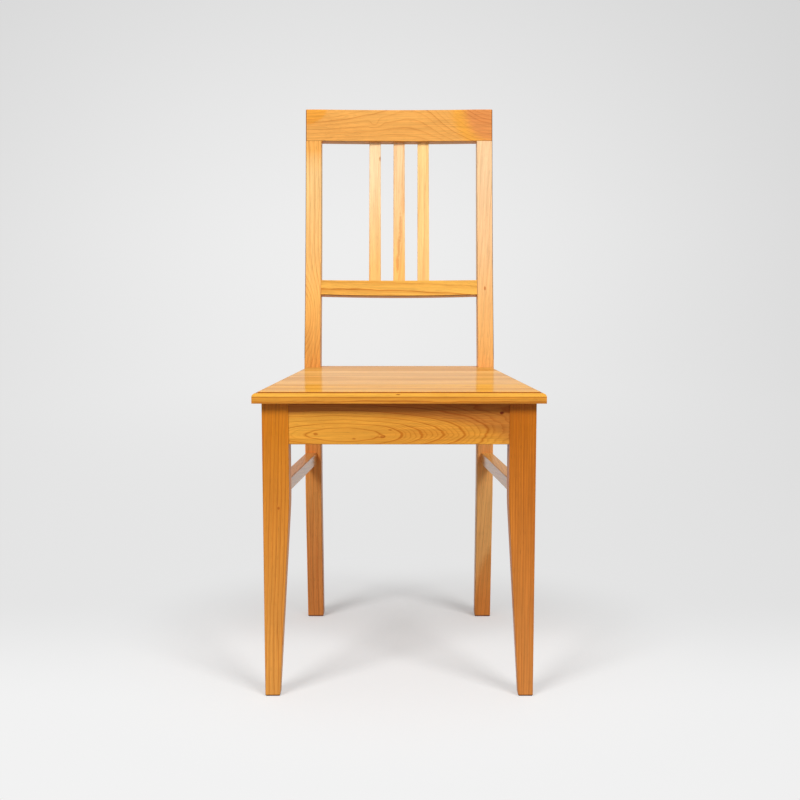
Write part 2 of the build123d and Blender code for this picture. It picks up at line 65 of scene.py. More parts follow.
class NodeBench:
    """Lays shader nodes in one tree and joins them."""

    def __init__(self, tree: bpy.types.NodeTree) -> None:
        """Start on a node tree."""
        self.tree = tree

    def add(self, kind: str, **settings: object) -> bpy.types.Node:
        """Add a node.

        Args:
            kind: Blender's name of the node's type.
            settings: Properties to set on it.

        Returns:
            The new node.
        """
        node = self.tree.nodes.new(kind)
        for name, setting in settings.items():
            setattr(node, name, setting)
        return node

    def feed(self, socket: Socket, value: Value) -> None:
        """Join a socket to another one, or set its own value.

        Args:
            socket: The input socket.
            value: An output socket, a number, a vector or a colour.
        """
        if isinstance(value, Socket):
            self.tree.links.new(value, socket)
        elif isinstance(value, tuple) and socket.type == "RGBA":
            socket.default_value = (*value, 1.0)
        else:
            socket.default_value = value

    def give(self, node: bpy.types.Node, *values: Value, **named: Value) -> bpy.types.bpy_prop_collection:
        """Feed the inputs of a node.

        Args:
            node: The node.
            values: Values of its first inputs, in their order.
            named: Values of inputs by name, with underscores for the spaces in it.

        Returns:
            The node's outputs.
        """
        for socket, value in zip(node.inputs, values):
            self.feed(socket, value)
        for name, value in named.items():
            self.feed(node.inputs[name.replace("_", " ")], value)
        return node.outputs

    def maths(self, operation: str, *values: Value) -> Socket:
        """Work out a number by an operation of the Math node."""
        return self.give(self.add("ShaderNodeMath", operation=operation), *values)[0]

    def times(self, first: Value, second: Value) -> Socket:
        """Work out a product."""
        return self.maths("MULTIPLY", first, second)

    def vector(self, operation: str, *values: Value, output: str = "Vector") -> Socket:
        """Work out a vector, or another output, by an operation of the Vector Math node."""
        return self.give(self.add("ShaderNodeVectorMath", operation=operation), *values)[output]

    def length(self, vector: Value) -> Socket:
        """Work out the length of a vector."""
        return self.vector("LENGTH", vector, output="Value")

    def split(self, vector: Value) -> bpy.types.bpy_prop_collection:
        """Take a vector apart into the sockets X, Y and Z."""
        return self.give(self.add("ShaderNodeSeparateXYZ"), vector)

    def noise(self, place: Value, stretch: Point, detail: float) -> Socket:
        """Soft noise from 0 to 1.

        Args:
            place: Where it is read.
            stretch: Cycles per metre along each axis.
            detail: Octaves of finer noise.

        Returns:
            The noise's socket.
        """
        stretched = self.vector("MULTIPLY", place, stretch)
        node = self.add("ShaderNodeTexNoise")
        return self.give(node, Vector=stretched, Scale=1.0, Detail=detail)["Fac"]

    def remap(self, value: Value, start: Value, end: Value, low: float = 0.0, high: float = 1.0,
              ease: str = "SMOOTHSTEP") -> Socket:
        """Carry a range of values over to another range, and hold it at its ends.

        Args:
            value: The value to carry over.
            start: Start of the first range.
            end: End of the first range.
            low: What start becomes.
            high: What end becomes.
            ease: The Map Range node's interpolation.

        Returns:
            The result's socket.
        """
        node = self.add("ShaderNodeMapRange", interpolation_type=ease)
        return self.give(node, value, start, end, low, high)[0]

    def blend(self, share: Value, first: Value, second: Value, mode: str = "MIX") -> Socket:
        """Mix two colours.

        Args:
            share: How much of the second colour is used.
            first: The colour underneath.
            second: The colour on top.
            mode: The Mix node's way of mixing.

        Returns:
            The mixed colour's socket.
        """
        node = self.add("ShaderNodeMix", data_type="RGBA", blend_type=mode)
        for name, value in (("Factor_Float", share), ("A_Color", first), ("B_Color", second)):
            self.feed(next(socket for socket in node.inputs if socket.identifier == name), value)
        return next(socket for socket in node.outputs if socket.identifier == "Result_Color")


def new_material(name: str) -> tuple[bpy.types.Material, NodeBench, bpy.types.Node]:
    """Make a material.

    Args:
        name: Its name.

    Returns:
        The material, a bench for its nodes, and its shader.
    """
    material = bpy.data.materials.new(name)
    material.use_nodes = True
    return material, NodeBench(material.node_tree), material.node_tree.nodes["Principled BSDF"]


class Effect:
    """A shader node group that several finishes share."""

    def __init__(self, name: str, inputs: Names, outputs: Names) -> None:
        """Make an empty group with its sockets.

        Args:
            name: Name of the group.
            inputs: Names of its inputs by their kind.
            outputs: Names of its outputs by their kind.
        """
        self.tree = bpy.data.node_groups.new(name, "ShaderNodeTree")
        for direction, sockets in (("INPUT", inputs), ("OUTPUT", outputs)):
            for kind, names in sockets.items():
                for socket in names:
                    self.tree.interface.new_socket(
                        socket, in_out=direction, socket_type=f"NodeSocket{kind}")
        self.bench = NodeBench(self.tree)
        self.given = self.bench.add("NodeGroupInput").outputs
        self.wanted = self.bench.add("NodeGroupOutput").inputs

    def place(self, bench: NodeBench, **values: Value) -> bpy.types.bpy_prop_collection:
        """Use the effect in a material.

        Args:
            bench: The bench of the material's nodes.
            values: Value of each input by name, with underscores for the spaces in it.

        Returns:
            The effect's outputs.
        """
        return bench.give(bench.add("ShaderNodeGroup", node_tree=self.tree), **values)


class WoodEffects:
    """The effects that make up a board: its growth rings, the knots in them, the painted shade on its
    corners and its colour.

    Waves are the cycles of a noise per metre, along the grain and in two directions across it.
    """

    SLOW_WAVES: Point = (2.2, 11.0, 11.0)  # with which the rings wander
    QUICK_WAVES: Point = (15.0, 75.0, 75.0)  # with which they wriggle
    WRIGGLE = 0.6  # how far they do, in widths of a ring
    # Places in a ring, and how dark it is there.
    RING_PROFILE = ((0.0, 0.45), (0.05, 0.03), (0.5, 0.10), (0.82, 0.34), (0.94, 1.0), (1.0, 0.45))
    FAINTEST_RING = 0.30
    THIN_LINES = 4.0  # how many there are to a ring
    THIN_EDGE = (0.5, 1.0)  # where such a line begins and where it is darkest
    SHADE_WAVES: Point = (3.5, 26.0, 26.0)
    FIBRE_WAVES: Point = (11.0, 520.0, 520.0)
    PORE_WAVES: Point = (70.0, 1900.0, 1900.0)
    PORE_EDGE = (0.62, 0.74)  # noise at which a pore begins and at which it is full
    KNOT_WAVES: Point = (260.0, 260.0, 260.0)
    CORNER_TURN = (0.10, 0.30)  # how far a corner is turned out of a board's face
    SIDE_TURN = (0.97, 0.90)  # how far it is short of the board's side
    SHADE_RANGE = (0.25, 0.75)
    SHADE_DEPTH = 0.42  # how dark the slow shade is beside a ring's edge
    LATE_WOOD: Colour = (0.62, 0.40, 0.22)  # colour of a ring's dark edge against its pale part
    ARRIS_PAINTED_SHADE: Colour = (0.22, 0.12, 0.07)  # painted shade on a board's bevelled corners, where its faces turn away from the light
    FIBRE_LIGHT = (0.86, 1.12)  # brightness of the darkest and the palest fibres
    FIBRE_ROUGHNESS = (-0.04, 0.04)
    PORE_DARKNESS = 0.16
    PORE_ROUGHNESS = 0.12

    def __init__(self) -> None:
        """Build the effects."""
        self.rings = self._growth_rings()
        self.knot = self._knot()
        self.corner = self._corner()
        self.colour = self._wood_colour()

    def _growth_rings(self) -> Effect:
        """Growth rings round the pith, with the fibres and pores between them.

        Returns:
            An effect whose Place runs along the pith with x, in metres.
        """
        effect = Effect(
            "growth_rings",
            {"Vector": ("Place",), "Float": ("Ring Width", "Waver", "Lift", "Line", "Fine", "Seed")},
            {"Float": ("Ring", "Shade", "Fibre", "Pore")})
        bench, given = effect.bench, effect.given
        place = bench.vector("ADD", given["Place"], given["Seed"])
        radius = bench.length(bench.vector("MULTIPLY", given["Place"], (0.0, 1.0, 1.0)))
        slow = bench.maths("SUBTRACT", bench.noise(place, self.SLOW_WAVES, 2.0), 0.5)
        quick = bench.maths("SUBTRACT", bench.noise(place, self.QUICK_WAVES, 2.0), 0.5)
        wander = bench.times(slow, given["Waver"])
        wriggle = bench.times(quick, bench.times(given["Ring Width"], self.WRIGGLE))
        reach = bench.maths("ADD", bench.maths("ADD", radius, wander), wriggle)
        count = bench.maths("ADD", bench.maths("DIVIDE", reach, given["Ring Width"]), given["Lift"])
        ramp = bench.add("ShaderNodeValToRGB")
        for position, _ in self.RING_PROFILE[1:-1]:
            ramp.color_ramp.elements.new(position)
        for element, (position, grey) in zip(ramp.color_ramp.elements, self.RING_PROFILE):
            element.position = position
            element.color = (grey, grey, grey, 1.0)
        bench.feed(ramp.inputs[0], bench.maths("FRACT", count))
        chance = bench.add("ShaderNodeTexWhiteNoise", noise_dimensions="1D")
        bench.feed(chance.inputs["W"], bench.maths("ADD", bench.maths("FLOOR", count), given["Seed"]))
        strength = bench.remap(chance.outputs["Value"], 0.0, 1.0, self.FAINTEST_RING, 1.0, "LINEAR")
        line = bench.maths("POWER", ramp.outputs[0], given["Line"])
        strong = bench.times(line, strength)
        step = bench.maths("FRACT", bench.times(count, self.THIN_LINES))
        thin = bench.times(bench.remap(step, *self.THIN_EDGE), given["Fine"])
        bench.feed(effect.wanted["Ring"], bench.maths("MAXIMUM", strong, thin))
        bench.feed(effect.wanted["Shade"], bench.noise(place, self.SHADE_WAVES, 2.0))
        bench.feed(effect.wanted["Fibre"], bench.noise(place, self.FIBRE_WAVES, 3.0))
        pores = bench.noise(place, self.PORE_WAVES, 0.0)
        bench.feed(effect.wanted["Pore"], bench.remap(pores, *self.PORE_EDGE))
        return effect

    def _knot(self) -> Effect:
        """A place where a branch began: it lifts the rings round it, and is stained in its middle.

        Returns:
            An effect that reads Place and Centre in the same frame.
        """
        effect = Effect(
            "knot",
            {"Vector": ("Place", "Centre", "Reach"), "Float": ("Soft", "Ragged")},
            {"Float": ("Swell", "Heart")})
        bench, given = effect.bench, effect.given
        away = bench.vector("SUBTRACT", given["Place"], given["Centre"])
        distance = bench.length(bench.vector("DIVIDE", away, given["Reach"]))
        fall = bench.times(bench.times(distance, distance), -1.0)
        bench.feed(effect.wanted["Swell"], bench.maths("EXPONENT", fall))
        ragged = bench.maths("SUBTRACT", bench.noise(given["Place"], self.KNOT_WAVES, 2.0), 0.5)
        edge = bench.maths("ADD", distance, bench.times(ragged, given["Ragged"]))
        inside = bench.maths("SUBTRACT", 1.0, given["Soft"])
        bench.feed(effect.wanted["Heart"], bench.remap(edge, 1.0, inside))
        return effect

    def _corner(self) -> Effect:
        """The narrow bevelled corners at a board's sides and along its lower edges, which take painted
        shade.

        Returns:
            An effect that reads the surface's own direction.
        """
        effect = Effect("corner", {"Vector": ("Direction",)}, {"Float": ("Left", "Right", "Under")})
        bench = effect.bench
        parts = bench.split(effect.given["Direction"])
        leftwards = bench.times(parts["X"], -1.0)
        downwards = bench.times(parts["Z"], -1.0)
        for name, turn in (("Left", leftwards), ("Right", parts["X"]), ("Under", downwards)):
            turned = bench.remap(turn, *self.CORNER_TURN)
            short = bench.remap(turn, *self.SIDE_TURN)
            bench.feed(effect.wanted[name], bench.times(turned, short))
        return effect

    def _wood_colour(self) -> Effect:
        """Colour, gloss and relief of a board from its rings, fibres and pores, with painted shade on its
        corners.

        Returns:
            The effect.
        """
        effect = Effect(
            "wood_colour",
            {"Float": ("Ring", "Shade", "Fibre", "Pore", "Corner", "Figure", "Gloss"), "Color": ("Tone",)},
            {"Color": ("Colour",), "Float": ("Roughness", "Height")})
        bench, given = effect.bench, effect.given
        mottle = bench.remap(given["Shade"], *self.SHADE_RANGE, 0.0, self.SHADE_DEPTH, "LINEAR")
        dark = bench.times(bench.maths("ADD", given["Ring"], mottle), given["Figure"])
        colour = given["Tone"]
        # the second pair darkens the bevelled corners with painted shade
        for share, stain in ((dark, self.LATE_WOOD), (given["Corner"], self.ARRIS_PAINTED_SHADE)):
            colour = bench.blend(share, colour, stain, "MULTIPLY")
        light = bench.remap(given["Fibre"], *NOISE_RANGE, *self.FIBRE_LIGHT, "LINEAR")
        fleck = bench.maths("SUBTRACT", 1.0, bench.times(given["Pore"], self.PORE_DARKNESS))
        colour = bench.blend(1.0, colour, bench.times(light, fleck), "MULTIPLY")
        colour.node.clamp_result = True  # wood throws back no more light than falls on it
        bench.feed(effect.wanted["Colour"], colour)
        open_grain = bench.times(given["Pore"], self.PORE_ROUGHNESS)
        dull = bench.remap(given["Fibre"], *NOISE_RANGE, *self.FIBRE_ROUGHNESS, "LINEAR")
        rough = bench.maths("ADD", bench.maths("ADD", given["Gloss"], open_grain), dull)
        bench.feed(effect.wanted["Roughness"], rough)
        bench.feed(effect.wanted["Height"], bench.maths("SUBTRACT", given["Fibre"], given["Pore"]))
        return effect


class Grain(Enum):
    """Direction of a board's grain in the chair."""

    ACROSS = (1.0, 0.0, 0.0)
    BACKWARDS = (0.0, 1.0, 0.0)
    UPRIGHT = (0.0, 0.0, 1.0)


@dataclass(frozen=True)
class Finish:
    """How wood is finished."""

    roughness: float
    shine: float  # of the wood itself
    varnish: float  # weight of the coat
    varnish_roughness: float


class Surface(Enum):
    """The finishes that the chair has."""

    SATIN = Finish(0.45, 0.12, 0.05, 0.25)
    VARNISHED = Finish(0.45, 0.12, 0.12, 0.20)
    GLOSSY = Finish(0.40, 0.0, 0.36, 0.12)
    POLISHED = Finish(0.40, 0.12, 0.90, 0.16)
    BARE = Finish(0.62, 0.30, 0.0, 0.5)


@dataclass(frozen=True)
class Tone:
    """Colour of the wood at one height above the floor; on several boards it also holds painted light and
    shade.
    """

    height: float
    screen: tuple[int, int, int]  # red, green and blue on screen, 0 to 255

    @property
    def colour(self) -> Colour:
        """The colour as linear light."""
        return from_screen(*self.screen)


def evenly(red: int, green: int, blue: int) -> tuple[Tone, ...]:
    """One tone for a whole board, as a screen colour."""
    return (Tone(0.0, (red, green, blue)),)


SEAT_TOP = 0.46
THROUGH = 0.3  # a reach that goes through any board
WHOLE = 9.0  # a reach that takes in the whole chair

HEARTWOOD: Colour = (0.66, 0.40, 0.22)
RED_KNOT: Colour = (0.36, 0.15, 0.12)
# colour of the painted shade on the bevel at the bottom of each foot
FOOT_PAINTED_SHADE: Colour = (0.30, 0.22, 0.16)
PALE_STREAK: Colour = (1.14, 1.18, 1.26)
DARK_STREAK: Colour = (0.93, 0.90, 0.88)


@dataclass(frozen=True)
class Knot:
    """A knot, an eye, a patch or a streak in a board, or a band of painted shade."""

    centre: Point
    reach: Point
    lift: float = 0.0  # how many rings it adds
    share: float = 0.0  # how far its middle is stained
    stain: Colour = HEARTWOOD
    soft: float = 0.5  # share of the reach over which the stain fades
    ragged: float = 0.7  # how ragged the stain's edge is
    calm: bool = False  # whether the thinner lines fade in its middle


def patch(centre: Point, reach: Point, stain: Colour, soft: float, ragged: float = 0.1) -> Knot:
    """A stained patch that leaves the rings as they are."""
    return Knot(centre, reach, 0.0, 1.0, stain, soft, ragged)


def streak(y: float, half: float, stain: Colour) -> Knot:
    """A straight streak across the whole seat, whose half width ends in the middle of its soft edge."""
    soft = 0.6
    return patch((0.0, y, SEAT_TOP), (WHOLE, half / (1 - soft / 2), THROUGH), stain, soft, 0.0)


# a dark band over the lowest few millimetres of every leg: painted shade on the foot's bevel
FOOT_SHADE_BAND = Knot((0.0, 0.0, 0.0), (WHOLE, WHOLE, 0.0035), share=0.9, stain=FOOT_PAINTED_SHADE, ragged=0.0)

CALM_SWELL = (0.25, 0.6)  # nearness to a calm knot between which the thinner lines fade
CORNER_SHADE_FADE = 0.01  # height over which the painted shade on the corners sets in
WEAR_FADE = 0.001  # height over which worn varnish sets in
VARNISH_LEFT = 0.2  # share of the varnish that is left where it is worn
RELIEF = 0.12  # strength of the fibres' and pores' relief
RELIEF_DEPTH = 0.0003


@dataclass(frozen=True)
class Board:
    """How one piece was cut from the tree."""

    node: str
    grain: Grain
    pith: Point  # a point on the pith
    tones: tuple[Tone, ...]  # colour of its pale wood, from below to above, on several boards with painted light and shade in it
    lean: Point = (0.0, 0.0, 0.0)  # how far the pith leaves the direction of the grain
    bend: tuple[Span, ...] = ()  # heights, and how far back the piece is bent at each
    ring_width: float = 0.004
    first_ring: float = 0.0  # where in a ring the pith begins
    waver: float = 0.006
    figure: float = 1.0  # how strongly the rings show
    line: float = 1.0  # how thin the dark line of a ring is
    fine: float = 0.0  # how strongly thinner lines show between the rings
    edges: Span = (0.0, 0.0)  # how much painted shade its left and right corners get
    edge_shade_from: float = 0.0  # height above which that painted shade is put on
    under: float = 0.0  # how much painted shade its lower corners get
    seed: float = 0.0
    surface: Surface = Surface.SATIN
    worn_from: float | None = None  # height above which feet have rubbed the varnish off
    knots: tuple[Knot, ...] = ()

    def tone(self, bench: NodeBench, height: Socket) -> Value:
        """The pale wood's colour, which may change with height; on several boards that change is painted
        light and shade.

        Args:
            bench: The bench of the material's nodes.
            height: Height above the floor.

        Returns:
            A colour, or the socket that gives it.
        """
        if len(self.tones) == 1:
            return self.tones[0].colour
        low, high = self.tones[0].height, self.tones[-1].height
        ramp = bench.add("ShaderNodeValToRGB")
        for _ in self.tones[1:-1]:
            ramp.color_ramp.elements.new(0.5)
        for element, tone in zip(ramp.color_ramp.elements, self.tones):
            element.position = (tone.height - low) / (high - low)
            element.color = (*tone.colour, 1.0)
        bench.feed(ramp.inputs[0], bench.remap(height, low, high, ease="LINEAR"))
        return ramp.outputs[0]

    def place_in_tree(self, bench: NodeBench, here: Socket, height: Socket) -> Socket:
        """Where the wood was in the tree; the grain of a bent piece follows its bend.

        Args:
            bench: The bench of the material's nodes.
            here: Place on the piece.
            height: Height above the floor.

        Returns:
            That place, with the pith along x.
        """
        if self.bend:
            back: Value = self.bend[0][1]
            for (low, start), (high, end) in zip(self.bend, self.bend[1:]):
                further = bench.remap(height, low, high, 0.0, end - start, "LINEAR")
                back = bench.maths("ADD", back, further)
            shift = bench.give(bench.add("ShaderNodeCombineXYZ"), Y=back)[0]
            here = bench.vector("SUBTRACT", here, shift)
        along = Vector(self.grain.value) + Vector(self.lean)
        turn = Vector(Grain.ACROSS.value).rotation_difference(along).to_euler()
        mapping = bench.add("ShaderNodeMapping", vector_type="TEXTURE")
        return bench.give(mapping, Vector=here, Location=self.pith, Rotation=turn)[0]

    def knotted(self, bench: NodeBench, effects: WoodEffects, here: Socket,
                tone: Value) -> tuple[Value, Value, Value]:
        """What the knots make of the wood.

        Args:
            bench: The bench of the material's nodes.
            effects: The shared wood effects.
            here: Place on the piece.
            tone: Colour of the pale wood.

        Returns:
            The stained colour, the lift of the rings and the strength of the thinner lines.
        """
        lift: Value = self.first_ring
        fine: Value = self.fine
        for knot in self.knots:
            near = effects.knot.place(bench, Place=here, Centre=knot.centre, Reach=knot.reach,
                                      Soft=knot.soft, Ragged=knot.ragged)
            if knot.lift:
                lift = bench.maths("ADD", lift, bench.times(near["Swell"], knot.lift))
            if knot.calm:
                fine = bench.remap(near["Swell"], *CALM_SWELL, self.fine, 0.0)
            if knot.share:
                share = bench.times(near["Heart"], knot.share)
                tone = bench.blend(share, tone, knot.stain, "MULTIPLY")
        return tone, lift, fine

    def corner(self, bench: NodeBench, effects: WoodEffects, direction: Socket, height: Socket) -> Socket:
        """How much painted shade the piece's corners get.

        Args:
            bench: The bench of the material's nodes.
            effects: The shared wood effects.
            direction: The surface's own direction.
            height: Height above the floor.

        Returns:
            The strength of that painted shade, which is 0 on the faces.
        """
        found = effects.corner.place(bench, Direction=direction)
        dark = bench.times(found["Under"], self.under)
        for name, share in zip(("Left", "Right"), self.edges):
            above = bench.remap(height, self.edge_shade_from, self.edge_shade_from + CORNER_SHADE_FADE, 0.0, share)
            dark = bench.maths("MAXIMUM", dark, bench.times(found[name], above))
        return dark

    def dress(self, effects: WoodEffects) -> None:
        """Give the piece this board's finish.

        Args:
            effects: The shared wood effects.
        """
        material, bench, shader = new_material(f"wood_{self.node}")
        spot = bench.add("ShaderNodeTexCoord").outputs
        here = spot["Object"]
        height = bench.split(here)["Z"]
        tone, lift, fine = self.knotted(bench, effects, here, self.tone(bench, height))
        rings = effects.rings.place(
            bench, Place=self.place_in_tree(bench, here, height), Ring_Width=self.ring_width,
            Waver=self.waver, Lift=lift, Line=self.line, Fine=fine, Seed=self.seed)
        finish = self.surface.value
        look = effects.colour.place(
            bench, Ring=rings["Ring"], Shade=rings["Shade"], Fibre=rings["Fibre"], Pore=rings["Pore"],
            # Corner is painted shade on the bevelled corners
            Corner=self.corner(bench, effects, spot["Normal"], height), Tone=tone,
            Figure=self.figure, Gloss=finish.roughness)
        varnish: Value = finish.varnish
        if self.worn_from:
            varnish = bench.remap(height, self.worn_from - WEAR_FADE, self.worn_from,
                                  finish.varnish, VARNISH_LEFT * finish.varnish)
        bump = bench.add("ShaderNodeBump")
        relief = bench.give(bump, Strength=RELIEF, Distance=RELIEF_DEPTH, Height=look["Height"])[0]
        bench.give(shader, Base_Color=look["Colour"], Roughness=look["Roughness"],
                   Specular_IOR_Level=finish.shine, Coat_Weight=varnish,
                   Coat_Roughness=finish.varnish_roughness, Normal=relief)
        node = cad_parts[self.node]
        node.data.materials.clear()
        node.data.materials.append(material)
        log.info("%s is dressed", self.node)


class Assembly:
    """Pieces of the chair that belong together."""

    def boards(self) -> tuple[Board, ...]:
        """All of its boards."""
        return tuple(piece for piece in vars(self).values() if isinstance(piece, Board))


PLAIN_WOOD = evenly(206, 172, 126)
BACK_LEAN = (0.0, 0.19, 0.0)
POST_SWEEP = ((0.0, 0.035), (0.24, 0.0), (0.47, 0.0), (0.66, 0.047), (0.86, 0.081))


@dataclass
class Back(Assembly):
    """The swept back: two posts that are also the rear legs, two rails and three slats."""

    crest: Board = Board(
        "crest_rail", Grain.ACROSS, (0.0, 0.30, 0.62), evenly(237, 173, 88),
        # edges and under paint shade on the crest's bevelled corners
        ring_width=0.008, waver=0.010, figure=0.68, edges=(1.0, 1.0), under=1.0, seed=1.3,
        knots=(
            Knot((0.172, 0.225, 0.928), (0.090, 0.3, 0.110), 8.0),
            Knot((-0.172, 0.225, 0.928), (0.06, 0.3, 0.035), 3.0),
            Knot((0.035, 0.225, 0.930), (0.075, 0.3, 0.050), -3.5),
            Knot((-0.043, 0.225, 0.888), (0.010, 0.3, 0.008), 1.0),
            patch((-0.172, 0.225, 0.915), (0.046, 0.3, 0.032), (1.02, 0.90, 0.48), 0.15),
            patch((0.168, 0.225, 0.915), (0.082, 0.3, 0.086), (1.04, 0.98, 0.60), 0.20),
            patch((0.168, 0.225, 0.915), (0.061, 0.3, 0.074), (0.88, 0.74, 1.40), 0.35),
        ))
    lower_rail: Board = Board(
        "lower_back_rail", Grain.ACROSS, (0.0, 0.26, 0.45), evenly(237, 180, 82), lean=(0.0, 0.0, -0.03),
        # under paints shade on the rail's lower bevelled corners
        ring_width=0.010, waver=0.018, figure=1.15, under=1.0, seed=4.1)
    left_post: Board = Board(
        "rear_post_left", Grain.UPRIGHT, (-0.42, 0.24, 0.65), (
            # paler towards the top of the back: a painted sheen in the tones
            Tone(0.03, (230, 144, 72)), Tone(0.13, (246, 160, 82)), Tone(0.23, (252, 172, 90)),
            Tone(0.38, (244, 159, 78)), Tone(0.49, (225, 159, 76)), Tone(0.58, (246, 186, 100)),
            Tone(0.68, (248, 198, 124)), Tone(0.80, (249, 203, 135)), Tone(0.825, (249, 196, 122)),
            Tone(0.84, (246, 180, 92)),
        # the edge settings paint shade on the corners above the seat
        ), bend=POST_SWEEP, ring_width=0.008, waver=0.014, figure=0.7, edges=(1.0, 0.35), edge_shade_from=0.47,
        seed=2.2, surface=Surface.VARNISHED,
        knots=(Knot((-0.166, 0.15, 0.550), (0.030, 0.3, 0.060), -5.0),
               Knot((-0.159, 0.15, 0.15), (0.0018, 0.3, 0.13), 0.0, 0.40, HEARTWOOD, 0.9),
               Knot((-0.148, 0.15, 0.10), (0.0032, 0.3, 0.11), 0.0, 0.35, HEARTWOOD, 0.9),
               FOOT_SHADE_BAND))
    right_post: Board = Board(
        "rear_post_right", Grain.UPRIGHT, (0.44, 0.25, 0.65), (
            # paler towards the top of the back: a painted sheen in the tones
            Tone(0.03, (247, 167, 88)), Tone(0.12, (253, 186, 110)), Tone(0.24, (253, 189, 113)),
            Tone(0.38, (250, 172, 96)), Tone(0.49, (235, 174, 99)), Tone(0.58, (237, 183, 117)),
            Tone(0.68, (246, 200, 147)), Tone(0.80, (247, 206, 158)),
        ), lean=(0.06, 0.0, 0.0), bend=POST_SWEEP, ring_width=0.006, waver=0.014, figure=0.36,
        # the edge settings paint shade on the corners above the seat
        edges=(0.5, 1.0), edge_shade_from=0.47, seed=7.9, surface=Surface.VARNISHED,
        knots=(Knot((0.1515, 0.165, 0.597), (0.0022, 0.04, 0.0045), 0.6, 0.9),
               patch((0.172, 0.20, -0.02), (0.042, 0.5, 0.17), (0.84, 0.68, 0.50), 0.2),
               FOOT_SHADE_BAND))
    left_slat: Board = Board(
        "back_slat_left", Grain.UPRIGHT, (-0.075, 0.30, 0.70), (
            # paler towards the top: a painted sheen in the tones
            Tone(0.63, (250, 195, 117)), Tone(0.72, (251, 208, 147)), Tone(0.80, (252, 217, 169)),
        ), lean=BACK_LEAN, ring_width=0.0045, figure=0.45, seed=3.1,
        knots=(Knot((-0.034, 0.21, 0.826), (0.0025, 0.05, 0.005), 0.8, 0.9),))
    centre_slat: Board = Board(
        "back_slat_centre", Grain.UPRIGHT, (0.03, 0.30, 0.70), (
            # paler towards the top: a painted sheen in the tones
            Tone(0.63, (251, 195, 113)), Tone(0.72, (252, 207, 147)), Tone(0.82, (253, 213, 163)),
        ), lean=BACK_LEAN, ring_width=0.0045, figure=0.4, seed=5.5,
        knots=(Knot((0.0065, 0.20, 0.745), (0.0034, 0.05, 0.026), 0.3, 0.35),
               Knot((0.0025, 0.19, 0.705), (0.0036, 0.05, 0.034), 0.3, 0.45),
               Knot((-0.001, 0.18, 0.672), (0.0030, 0.05, 0.024), 0.3, 0.5),
               Knot((-0.003, 0.18, 0.640), (0.0032, 0.05, 0.020), 0.6, 0.6)))
    right_slat: Board = Board(
        "back_slat_right", Grain.UPRIGHT, (0.085, 0.30, 0.70), (
            # paler towards the top: a painted sheen in the tones
            Tone(0.63, (252, 201, 129)), Tone(0.75, (252, 206, 136)), Tone(0.84, (252, 210, 140)),
        ), lean=BACK_LEAN, ring_width=0.0045, figure=0.4, seed=6.7)


def seat_tones(*top: int) -> tuple[Tone, ...]:
    """Tones of a seat board, from its upright edge over the mouldings to its top; the quarter round is
    painted lighter than the upright edge as painted light, and the small step under the top is painted
    dark as painted shade.

    Args:
        top: Red, green and blue of its top on screen, 0 to 255.

    Returns:
        The tones.
    """
    face = (227, 155, 52)
    # painted light: the quarter round is lighter than the upright face
    quarter_round_painted_light = (239, 181, 74)
    # painted shade: the small upright step under the top is dark
    quirk_painted_shade = (168, 98, 26)
    crease = (206, 130, 40)
    return (Tone(0.4518, face), Tone(0.4524, crease), Tone(0.4532, crease), Tone(0.4540, quarter_round_painted_light),
            Tone(0.4582, quarter_round_painted_light), Tone(0.4585, quirk_painted_shade), Tone(0.4597, quirk_painted_shade), Tone(0.4599, top))


@dataclass
class Seat(Assembly):
    """The seat: four boards glued edge to edge."""

    front: Board = Board(
        "seat_board_front", Grain.ACROSS, (0.0, -0.14, 0.36), seat_tones(247, 184, 72),
        lean=(0.0, 0.004, 0.010), ring_width=0.007, seed=11.0, surface=Surface.GLOSSY,
        knots=(streak(-0.175, 0.012, PALE_STREAK), streak(-0.197, 0.008, DARK_STREAK),
               streak(-0.236, 0.012, PALE_STREAK),
               Knot((-0.0017, -0.247, 0.4568), (0.0042, 0.02, 0.0011), 0.0, 0.75, RED_KNOT)))
    front_middle: Board = Board(
        "seat_board_front_middle", Grain.ACROSS, (0.0, -0.02, 0.35), seat_tones(242, 185, 99),
        lean=(0.0, 0.005, -0.008), ring_width=0.007, seed=12.0, surface=Surface.GLOSSY,
        knots=(streak(-0.108, 0.020, PALE_STREAK), streak(-0.060, 0.012, DARK_STREAK)))
    rear_middle: Board = Board(
        "seat_board_rear_middle", Grain.ACROSS, (0.0, 0.00, 0.36), seat_tones(240, 185, 105),
        lean=(0.0, -0.004, 0.006), ring_width=0.007, seed=13.0, surface=Surface.GLOSSY,
        knots=(streak(-0.026, 0.008, PALE_STREAK), streak(0.000, 0.010, DARK_STREAK),
               streak(0.054, 0.014, PALE_STREAK)))
    rear: Board = Board(
        "seat_board_rear", Grain.ACROSS, (0.0, 0.18, 0.34), seat_tones(232, 172, 84),
        lean=(0.0, 0.003, 0.008), ring_width=0.007, seed=14.0, surface=Surface.GLOSSY)


